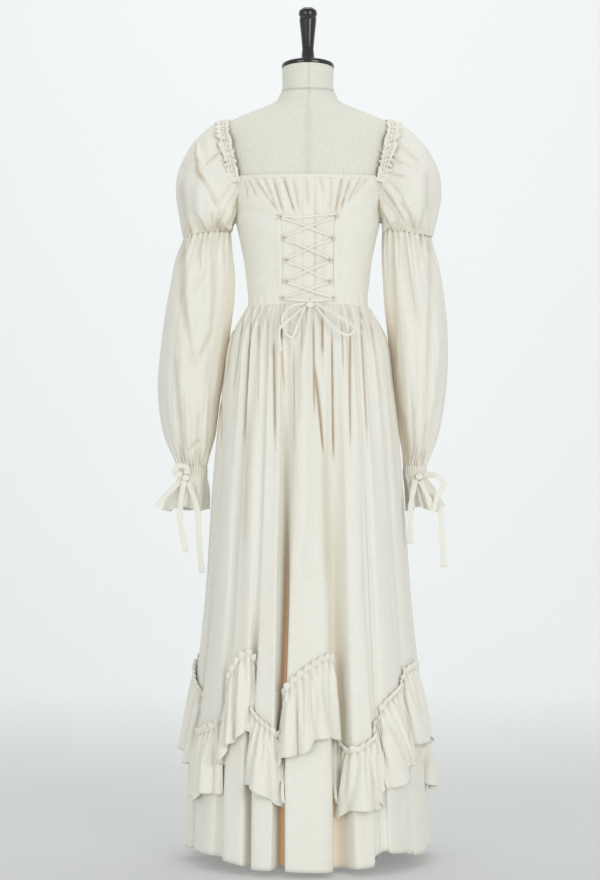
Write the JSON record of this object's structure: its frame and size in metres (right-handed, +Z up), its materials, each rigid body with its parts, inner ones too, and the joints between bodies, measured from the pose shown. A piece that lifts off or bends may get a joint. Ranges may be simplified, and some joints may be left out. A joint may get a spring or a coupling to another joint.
{
  "type": "renaissance dress on a limbless tailor's dress form",
  "caption": "Square-necked laced-back dress with puff sleeves, tied cuffs and a zigzag flounce, on a linen dress form with pole and round base.",
  "frame": {"origin": "centre of the stand's base plate on the floor, under the pole", "axes": "+Z up; the dress's laced back faces -Y and its front +Y; +X is the wearer's right"},
  "size_m": [0.588, 0.5101, 1.718],
  "materials": {
    "dress_cotton": "matte slubbed weave",
    "tie_cotton": "matte",
    "form_linen": "matte linen cover",
    "cap_gloss": "black gloss",
    "stand_steel": "satin grey"
  },
  "bodies": {
    "root": {"back_gathered_panel": "dress_cotton", "base_plate": "stand_steel", "bodice_front": "dress_cotton", "bow_knot": "tie_cotton", "bow_loop_left": "tie_cotton", "bow_loop_right": "tie_cotton", "cuff_flounce_left": "dress_cotton", "cuff_flounce_right": "dress_cotton", "form_torso": "form_linen", "lace_loop_left_1": "tie_cotton", "lace_loop_left_2": "tie_cotton", "lace_loop_left_3": "tie_cotton", "lace_loop_left_4": "tie_cotton", "lace_loop_left_5": "tie_cotton", "lace_loop_right_1": "tie_cotton", "lace_loop_right_2": "tie_cotton", "lace_loop_right_3": "tie_cotton", "lace_loop_right_4": "tie_cotton", "lace_loop_right_5": "tie_cotton", "lace_lower": "tie_cotton", "lace_tail_long": "tie_cotton", "lace_tail_short": "tie_cotton", "lace_upper": "tie_cotton", "lower_sleeve_left": "dress_cotton", "lower_sleeve_right": "dress_cotton", "neck_cap": "cap_gloss", "neck_casing_back": "dress_cotton", "neck_casing_front": "dress_cotton", "neck_handle": "cap_gloss", "puff_sleeve_left": "dress_cotton", "puff_sleeve_right": "dress_cotton", "shoulder_ruffle_inner_left": "dress_cotton", "shoulder_ruffle_inner_right": "dress_cotton", "shoulder_ruffle_outer_left": "dress_cotton", "shoulder_ruffle_outer_right": "dress_cotton", "shoulder_strap_left": "dress_cotton", "shoulder_strap_right": "dress_cotton", "side_back_left": "dress_cotton", "side_back_right": "dress_cotton", "skirt_back": "dress_cotton", "skirt_flounce_back": "dress_cotton", "skirt_flounce_front": "dress_cotton", "skirt_flounce_left": "dress_cotton", "skirt_flounce_right": "dress_cotton", "skirt_front": "dress_cotton", "skirt_left": "dress_cotton", "skirt_right": "dress_cotton", "stand_pole": "stand_steel", "wrist_knot_left": "tie_cotton", "wrist_knot_right": "tie_cotton", "wrist_loop_left": "tie_cotton", "wrist_loop_right": "tie_cotton", "wrist_streamer_left": "tie_cotton", "wrist_tail_long_left": "tie_cotton", "wrist_tail_long_right": "tie_cotton", "wrist_tail_short_left": "tie_cotton", "wrist_tail_short_right": "tie_cotton"}
  },
  "joints": []
}
